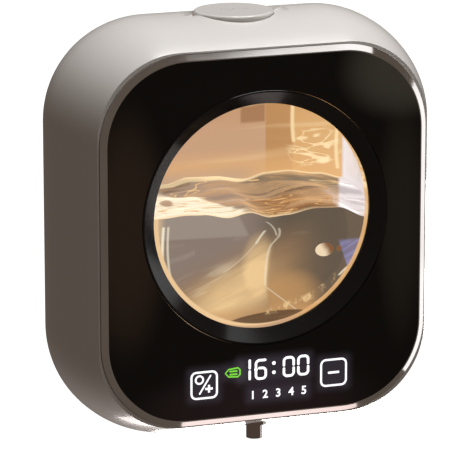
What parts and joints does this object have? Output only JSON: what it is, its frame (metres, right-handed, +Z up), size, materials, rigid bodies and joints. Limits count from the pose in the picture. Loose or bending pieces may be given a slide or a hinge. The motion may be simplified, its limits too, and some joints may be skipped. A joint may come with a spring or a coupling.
{
  "type": "soap dispenser",
  "caption": "Wall-mounted touchless foam soap dispenser: white pillow-shaped housing, black glossy panel with a round tank window, lit display, top filler cap and a thin nozzle.",
  "frame": {"origin": "centre of the wall bracket's back face, on the wall plane", "axes": "+X to the right seen from the front, +Y into the wall, +Z up; the front faces -Y"},
  "size_m": [0.1232, 0.058, 0.1354],
  "materials": {
    "white_shell": "gloss moulded",
    "rear_plastic": "fine textured",
    "bezel_chrome": "bright plated",
    "black_panel": "polished",
    "black_trim": "gloss",
    "clear_lens": "polished",
    "tank_white": "smooth",
    "soap": "clear liquid",
    "light_box_white": "matte",
    "circuit_board": "solder mask",
    "component_black": "moulded",
    "screw_steel": "zinc plated",
    "shaft_steel": "ground",
    "motor_can": "drawn can",
    "port_metal": "formed sheet",
    "seal_rubber": "soft",
    "flap_rubber": "soft matte",
    "hose_silicone": "translucent silicone",
    "spring_brass": "bright",
    "nozzle_metal": "bright plated",
    "mesh_steel": "woven",
    "pump_plastic": "moulded",
    "gear_plastic": "acetal",
    "pouch_foil": "foil",
    "pad_foam": "foam tape",
    "lead_insulation": "soft",
    "ribbon_film": "film",
    "dark_filter": "polished",
    "sensor_resin": "moulded"
  },
  "bodies": {
    "wall_bracket": {"wall_bracket": "rear_plastic"},
    "dispenser": {"battery_cell": "pouch_foil", "battery_leads": "lead_insulation", "battery_pad": "pad_foam", "bezel_ring": "bezel_chrome", "board_components": "component_black", "board_posts": "pump_plastic", "board_screws": "screw_steel", "delivery_hose": "hose_silicone", "display_board": "circuit_board", "display_ribbon": "ribbon_film", "foam_mesh": "mesh_steel", "front_panel": "black_panel", "housing_shell": "white_shell", "lens_gasket": "seal_rubber", "light_box": "light_box_white", "liquid_soap": "soap", "main_board": "circuit_board", "motor_leads": "lead_insulation", "neck_seal": "seal_rubber", "nozzle_body": "nozzle_metal", "nozzle_collar": "nozzle_metal", "pump_body": "pump_plastic", "pump_cover": "pump_plastic", "pump_motor": "motor_can", "pump_screws": "screw_steel", "rear_cover": "rear_plastic", "rear_gasket": "seal_rubber", "rear_screws": "screw_steel", "sensor_board": "circuit_board", "sensor_emitter": "sensor_resin", "sensor_receiver": "sensor_resin", "sensor_window": "dark_filter", "suction_hose": "hose_silicone", "tank_back": "tank_white", "tank_body": "tank_white", "tank_neck": "tank_white", "tank_screws": "screw_steel", "touch_springs": "spring_brass", "usb_port": "port_metal", "window_lens": "clear_lens", "window_ring": "black_trim"},
    "filler_cap": {"filler_cap": "white_shell", "cap_oring": "seal_rubber"},
    "usb_flap": {"usb_flap": "flap_rubber"},
    "drive": {"motor_shaft": "shaft_steel", "drive_gear": "gear_plastic"},
    "driven": {"driven_gear": "gear_plastic", "driven_shaft": "shaft_steel"}
  },
  "joints": [
    {"name": "lift_off", "type": "slide", "parent": "wall_bracket", "child": "dispenser", "axis": [0, 0, 1], "range_m": [0, 0.008]},
    {"name": "cap_lift", "type": "slide", "parent": "dispenser", "child": "filler_cap", "axis": [0, 0, 1], "range_m": [0, 0.03]},
    {"name": "flap_hinge", "type": "hinge", "parent": "dispenser", "child": "usb_flap", "pos_m": [0.0122, -0.02421, -0.0655], "axis": [0, 1, 0], "range_deg": [0, 95]},
    {"name": "drive_spin", "type": "hinge", "parent": "dispenser", "child": "drive", "pos_m": [0, -0.03077, -0.0503], "axis": [1, 0, 0], "continuous": true},
    {"name": "driven_spin", "type": "hinge", "parent": "dispenser", "child": "driven", "pos_m": [0, -0.02117, -0.0503], "axis": [1, 0, 0], "continuous": true}
  ],
  "couplings": [
    {"joint": "driven_spin", "follows": "drive_spin", "ratio": -1}
  ]
}
